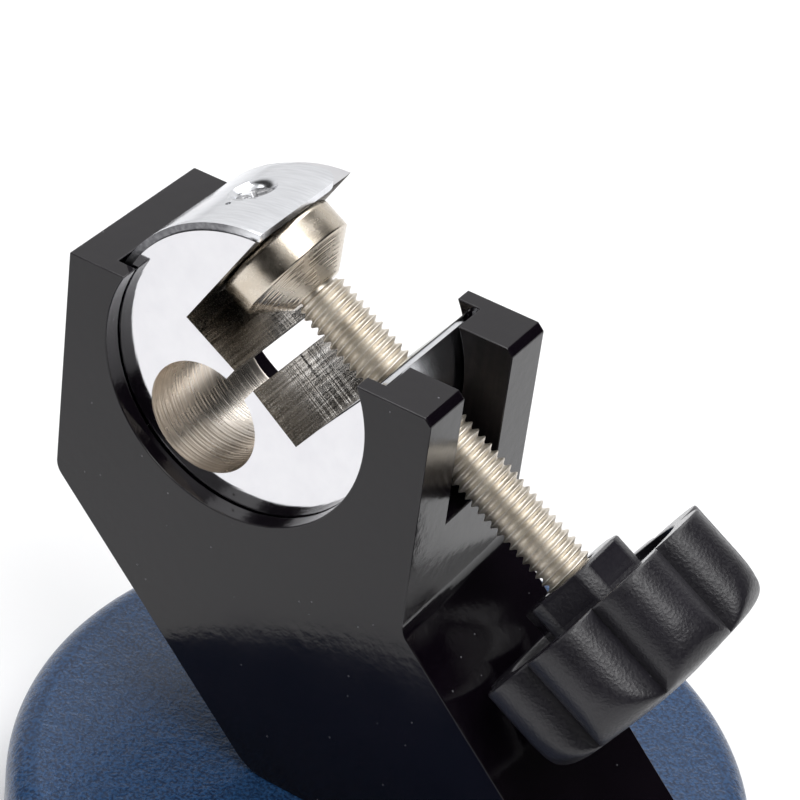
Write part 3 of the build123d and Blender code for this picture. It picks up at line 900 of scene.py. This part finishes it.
# %% [markdown]
# ## The two curved strips
# Each is a piece of bright sheet steel bent round the drum and held by one countersunk screw.
# They are what rubs in the bore. A strip is easiest as a grid of columns round the drum, where
# the columns near a rounded corner are shorter. The grid is made twice, once for each side of
# the sheet, and joined along its border.

# %% A strip bent round the drum
def strip(name, span, y_low, y_high, inner, outer, corner, columns=72, rows=18):
    """A curved strip between two angles, with its two rear corners rounded."""
    length = radians(span[1] - span[0]) * outer
    places = [corner * (1 - cos(pi / 2 * k / 8)) for k in range(9)]
    middle = [corner + (length - 2 * corner) * k / columns for k in range(1, columns)]
    places = places + middle + [length - p for p in reversed(places)]
    points, faces = [], []
    for side_r in (inner, outer):
        for place in places:
            near = min(place, length - place)
            inset = corner - sqrt(max(corner ** 2 - (corner - near) ** 2, 0)) if near < corner else 0
            way = spoke(span[0] + degrees(place / outer))
            for k in range(rows + 1):
                y = y_low + (y_high - inset - y_low) * k / rows
                points.append(drum_centre + way * side_r * MM + side_dir * y * MM)
    wide, deep = len(places), rows + 1
    top = wide * deep
    for i in range(wide - 1):
        for k in range(rows):
            a = i * deep + k
            faces.append((a, a + 1, a + deep + 1, a + deep))
            faces.append((top + a, top + a + deep, top + a + deep + 1, top + a + 1))
        for k in (0, rows):
            a = i * deep + k
            faces.append((a, a + deep, top + a + deep, top + a))
    for k in range(rows):
        for i in (0, wide - 1):
            a = i * deep + k
            faces.append((a, a + 1, top + a + 1, top + a))
    return new_piece(name, points, faces)


def countersink(angle, outer, depth=1.35):
    """A cone cutter whose mouth lies on the strip's outer side."""
    mouth, past = 2.8, 0.6
    profile = [(0, outer - depth), (mouth - depth, outer - depth), (mouth + past, outer + past),
               (0, outer + past)]
    return turned("saw", profile, drum_centre, spoke(angle), steps=72)


shoe_in, shoe_out = drum_r + 0.02, drum_r + 0.85
upper_span, lower_span = (120.8, 189.0), (-24.0, 53.2)
upper = strip("upper_strip", upper_span, -8.65, 6.75, shoe_in, shoe_out, 2.6)
lower = strip("lower_strip", lower_span, -8.65, 8.65, shoe_in, shoe_out, 2.6)
pin_mark = rod(0.32, shoe_out - 0.35, shoe_out + 1,
               drum_centre + side_dir * -3.9 * MM, spoke(144.4), steps=20)
cut(upper, countersink(upper_at, shoe_out), pin_mark)
cut(lower, countersink(lower_at, shoe_out), rod(3.5, 5, 24, screw_line, screw_dir))
for piece, node_name in ((upper, "upper_shoe"), (lower, "lower_shoe")):
    soften(piece, 0.09, segments=2, angle=50)
    piece.data.materials.clear()
    piece.data.materials.append(shoe_steel)
    piece.data.materials.append(sheared)
    for face in piece.data.polygons:
        face.material_index = 1 if face.normal.dot(side_dir) < -0.9 else 0
    seat(piece, "swivel", "shoe_steel", node_name)

# %% [markdown]
# The screws in the strips are countersunk, with a cross cut in the head. Each sits a little
# below the strip, so the rim of its countersink shows as a bright ring.

# %% Countersunk screws
def small_screw(name, angle, length, sink=0.5):
    """A countersunk screw with a cross recess, square to the drum's skin."""
    head_r, shank_r, top = 2.75 - sink, 1.45, shoe_out - sink
    profile = [(0, shoe_out - length), (shank_r - 0.3, shoe_out - length),
               (shank_r, shoe_out - length + 0.3), (shank_r, top - (head_r - shank_r) - 0.1),
               (head_r, top - 0.1), (head_r - 0.06, top), (0, top)]
    screw = turned(name, profile, drum_centre, spoke(angle), steps=64)
    way, out = spoke(angle), drum_centre + spoke(angle) * top * MM
    arms = []
    for along in (side_dir + way.cross(side_dir), side_dir - way.cross(side_dir)):
        along = along.normalized()
        wide = way.cross(along)
        corners = [(2.9 * a / 2, 0.62 * b / 2, c) for c in (-1.0, 0.4)
                   for a, b in ((-1, -1), (1, -1), (1, 1), (-1, 1))]
        slim = [0.62 if c < 0 else 1.0 for a, b, c in corners]
        points = [out + (along * a * s + wide * b * s + way * c) * MM
                  for (a, b, c), s in zip(corners, slim)]
        sides = [(0, 1, 2, 3), (7, 6, 5, 4), (0, 4, 5, 1), (1, 5, 6, 2), (2, 6, 7, 3), (3, 7, 4, 0)]
        arms.append(new_piece("saw", points, sides))
    cut(screw, *arms)
    soften(screw, 0.05, segments=2, angle=40)
    screw.data.materials.clear()
    screw.data.materials.append(zinc)
    return screw


seat(small_screw("upper_strip_screw", upper_at, 4.2, sink=0.75), "swivel", "zinc_steel", "upper_shoe_screw")
seat(small_screw("lower_strip_screw", lower_at, 6.5), "swivel", "zinc_steel", "lower_shoe_screw")

# %% [markdown]
# ## The clamp screw
# A real thread is one ridge that winds round the screw like a ramp. If the mesh's lines wind the
# same way, the crest stays sharp with few points: each column of the grid is one step round,
# shifted along by the same share of the pitch, and the last column meets the first one turn on.

# %% Clamp screw with its thread
pitch, crest_r, root_r = 1.0, 2.995, 2.46
thread_start, thread_end, tip_round = -1.6, 48.6, 0.55
shape = [(0.00, root_r), (0.06, root_r), (0.20, 2.61), (0.34, 2.84), (0.44, 2.97),
         (0.50, crest_r), (0.56, 2.97), (0.66, 2.84), (0.80, 2.61), (0.94, root_r)]
around, per_turn = 72, len(shape)
turns = int(thread_end - thread_start) + 2
points, faces = [], []
out_a, out_b = side_dir, screw_dir.cross(side_dir)
for i in range(around):
    a = 2 * pi * i / around
    way = out_a * cos(a) + out_b * sin(a)
    for t in range(-1, turns):
        for share, radius in shape:
            s = thread_start + (t + share + i / around) * pitch
            s = min(max(s, thread_start), thread_end)
            taper = min(s - thread_start, thread_end - s) + crest_r - tip_round
            points.append(screw_line + (screw_dir * s + way * min(radius, taper)) * MM)
rows = (turns + 1) * per_turn
for i in range(around):
    for k in range(rows - 1):
        a = i * rows + k
        if i < around - 1:
            b = a + rows
        elif k + per_turn + 1 < rows:
            b = k + per_turn
        else:
            continue
        faces.append((a, b, b + 1, a + 1))
thread = new_piece("clamp_screw_thread", points, faces, smooth_angle=50)
nose = turned("clamp_screw_nose",
              [(0, -6.3), (1.65, -6.3), (2.05, -5.9), (2.05, -5.1), (1.6, -5.1), (1.6, -4.1),
               (2.05, -4.1), (2.05, thread_start + 0.2), (0, thread_start + 0.2)],
              screw_line, screw_dir, steps=64)
stub = turned("clamp_screw_ends",
              [(0, thread_start + 0.005), (crest_r - tip_round - 0.02, thread_start + 0.005),
               (root_r - 0.02, thread_start + 0.6), (root_r - 0.02, thread_end - 0.6),
               (crest_r - tip_round - 0.02, thread_end - 0.005), (0, thread_end - 0.005)],
              screw_line, screw_dir, steps=64)
for piece in (thread, nose, stub):
    piece.data.materials.append(lightened_thread_nickel)
    seat(piece, "spindle", "nickel_plate", "clamp_screw")

# %% [markdown]
# ## The pad
# The pad is turned from bar: a flat face, a smooth rim, and a coned back that still shows the
# fine grooves of the tool. It does not turn with the screw when it meets the work.

# %% Pad
pad_low, pad_high, rim_r, rim_end = -8.75, -1.95, 7.0, -4.95
cone_end_r = 3.1
profile = [(0, pad_low), (rim_r - 0.55, pad_low), (rim_r - 0.25, pad_low + 0.1),
           (rim_r - 0.06, pad_low + 0.32), (rim_r, pad_low + 0.6), (rim_r, pad_low + 0.75),
           (rim_r, rim_end - 0.25), (rim_r, rim_end - 0.16), (rim_r - 0.05, rim_end - 0.04),
           (rim_r - 0.13, rim_end + 0.03)]
grooves = 26
for i in range(1, grooves * 4):
    t = i / (grooves * 4)
    depth = 0.012 * sin(2 * pi * i / 4) + 0.010 * sin(2 * pi * i / 11)
    profile.append((rim_r - 0.14 - (rim_r - 0.14 - cone_end_r) * t + depth,
                    rim_end + (pad_high - rim_end) * t + depth))
profile += [(cone_end_r - 0.1, pad_high), (2.1, pad_high), (2.1, -6.6), (0, -6.6)]
pad = turned("clamp_pad", profile, screw_line, screw_dir, steps=160, smooth_angle=33)
pad.data.materials.append(nickel)
seat(pad, "pusher", "nickel_plate", "pad")

# %% [markdown]
# ## The knob
# Eight wide lobes meet in sharp valleys, the outer end has a rounded shoulder, and a boss with
# cut corners stands in a shallow dish and faces the clamp. All of it can be read as one outline per station along the screw,
# so the mesh is a grid of angle against a path that runs over the crown, down the side, across
# the flat face and over the boss. A soft minimum of two outlines rounds the edge between them.

# %% Outlines of the knob
def soft_min(a, b, blend):
    """The smaller of two lengths, with the corner between them rounded."""
    h = max(blend - abs(a - b), 0) / blend
    return min(a, b) - h * h * blend / 4


def lobe_line(turn):
    """The lobed outline's radius at an angle in degrees; arcs between eight valleys."""
    share = ((turn - 4.5) / 45) % 1
    valley, crest = 12.3, 15.2
    half = radians(22.5)
    rise, run = crest - valley * cos(half), valley * sin(half)
    bend = (run ** 2 + rise ** 2) / (2 * rise)
    a = radians((share - 0.5) * 45)
    offset = crest - bend
    return offset * cos(a) + sqrt(bend ** 2 - (offset * sin(a)) ** 2)


def boss_line(turn):
    """A hexagon whose corners are cut back, as a radius at an angle in degrees."""
    a = radians((turn - 6.0) % 60 - 30)
    return soft_min(6.0 / cos(a), 6.5, 0.08)


print("lobes run from", round(lobe_line(4.5), 2), "to", round(lobe_line(27), 2), "mm")

# %% Knob
face_s, side_s, end_s, boss_s, dish_s = 41.0, 48.4, 53.4, 37.6, 41.88
crown = [(0, end_s), (1.5, end_s), (3, end_s), (4.2, end_s - 0.03), (5.5, end_s - 0.15),
         (7, end_s - 0.33), (8.5, end_s - 0.52), (10, end_s - 0.72), (11.2, end_s - 0.87)]
shoulder_end, knee = Vector((12.2, 52.4)), Vector((14.75, 51.9))
shoulder = []
for k in range(13):
    t = k / 12
    a, b = shoulder_end.lerp(knee, t), knee.lerp(Vector((15.4, side_s)), t)
    shoulder.append(tuple(a.lerp(b, t)))
side = [(15.4, side_s - (side_s - face_s - 0.3) * k / 14) for k in range(1, 15)]
steps = 480
path = [("turned", r, s) for r, s in crown + shoulder] + [("lobed", 0.0, s) for r, s in side]
path += [("lobed", 0.03, face_s + 0.16), ("lobed", 0.10, face_s + 0.06),
         ("lobed", 0.22, face_s + 0.01), ("lobed", 0.40, face_s)]
path += [("plain", 11.45, face_s), ("plain", 11.25, face_s + 0.06), ("plain", 11.2, face_s + 0.2)]
path += [("plain", 11.2, face_s + 0.8), ("plain", 11.1, dish_s), ("plain", 9.0, dish_s)]
path += [("boss", 0.25, dish_s), ("boss", 0.06, dish_s - 0.05), ("boss", 0.0, dish_s - 0.25)]
path += [("boss", 0.0, dish_s - (dish_s - boss_s) * k / 9) for k in range(2, 9)]
path += [("boss", 0.0, boss_s + 0.30), ("boss", -0.08, boss_s + 0.10), ("boss", -0.28, boss_s)]
path += [("plain", 4.6, boss_s), ("plain", 3.45, boss_s), ("plain", 3.12, boss_s + 0.2),
         ("plain", 3.02, boss_s + 0.5), ("plain", 3.02, 49.3), ("plain", 0, 49.3)]
smooth_from = next(k for k, (kind, a, s) in enumerate(path) if kind == "lobed" and a == 0.22)
points, faces, smooth = [], [], []
for i in range(steps):
    turn = 360 * i / steps
    way = side_dir * cos(radians(turn)) + jaw_dir * sin(radians(turn))
    for kind, a, s in path:
        radius = {"turned": lambda: soft_min(lobe_line(turn), a, 0.7) if a > 9 else a,
                  "lobed": lambda: lobe_line(turn) - a,
                  "boss": lambda: boss_line(turn) + a,
                  "plain": lambda: a}[kind]()
        points.append(screw_line + (screw_dir * s + way * radius) * MM)
rows = len(path)
for i in range(steps):
    for k in range(rows - 1):
        a, b = i * rows + k, ((i + 1) % steps) * rows + k
        faces.append((a, b, b + 1, a + 1))
        smooth.append(k >= smooth_from)
knob = new_piece("lobed_knob", points, faces, smooth_angle=28)
knob.data.materials.append(knob_plastic)
knob.data.materials.append(knob_smooth)
for face in knob.data.polygons:
    arm = (face.center - screw_line) / MM
    s, turn = arm.dot(screw_dir), degrees(atan2(arm.dot(jaw_dir), arm.dot(side_dir)))
    corner_cut = boss_line(turn) > 6.44 and boss_s + 0.1 < s < face_s - 0.1
    face.material_index = 0 if s > face_s + 0.02 or corner_cut else 1
seat(knob, "spindle", "knob_plastic", "knob")

# %% [markdown]
# ## Small parts that stay as the CAD made them
# The feet, washers, column screws, the ring on the screw's nose and the nut in the knob keep
# their CAD shape, which is already right. They only need their finish.

# %% Finishes for the CAD parts
own_finish = {"foot": foot_rubber, "column": zinc, "pad_ring": zinc, "knob_nut": zinc}
for name, part in frame["nodes"].items():
    for start, finish in own_finish.items():
        if name.startswith(start):
            part.data.materials.clear()
            part.data.materials.append(finish)
            print(name, "takes", finish.name)

# %% [markdown]
# ## The floor
# A plain pale floor gives the polished steel something white to reflect. It is a wide, slightly
# uneven sheet, and is not part of the object.

# %% Floor
points = [(x, y, 0) for x in (-1.5, 1.5) for y in (-1.5, 1.5)]
floor = new_piece("floor", points, [(0, 2, 3, 1)])
paper, tree, shader = finish_of("white_paper", Roughness=0.75)
soft = use(tree, uneven, "Value", Size_mm=60.0, Detail=2.0, Low=0.2, High=0.8)
tree.links.new(mix_colour(tree, soft, (0.89, 0.89, 0.90), (0.91, 0.91, 0.915)),
               shader.inputs["Base Color"])
floor.data.materials.append(paper)
floor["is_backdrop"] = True

# %% Print the finished model's box beside the CAD model's
seen_low, seen_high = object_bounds()
sizes = {"cad": [list(cad_low), list(cad_high)], "visual": [list(seen_low), list(seen_high)]}
for label, (low, high) in sizes.items():
    print(label, "box, mm:", [round(1000 * v, 2) for v in low + high])
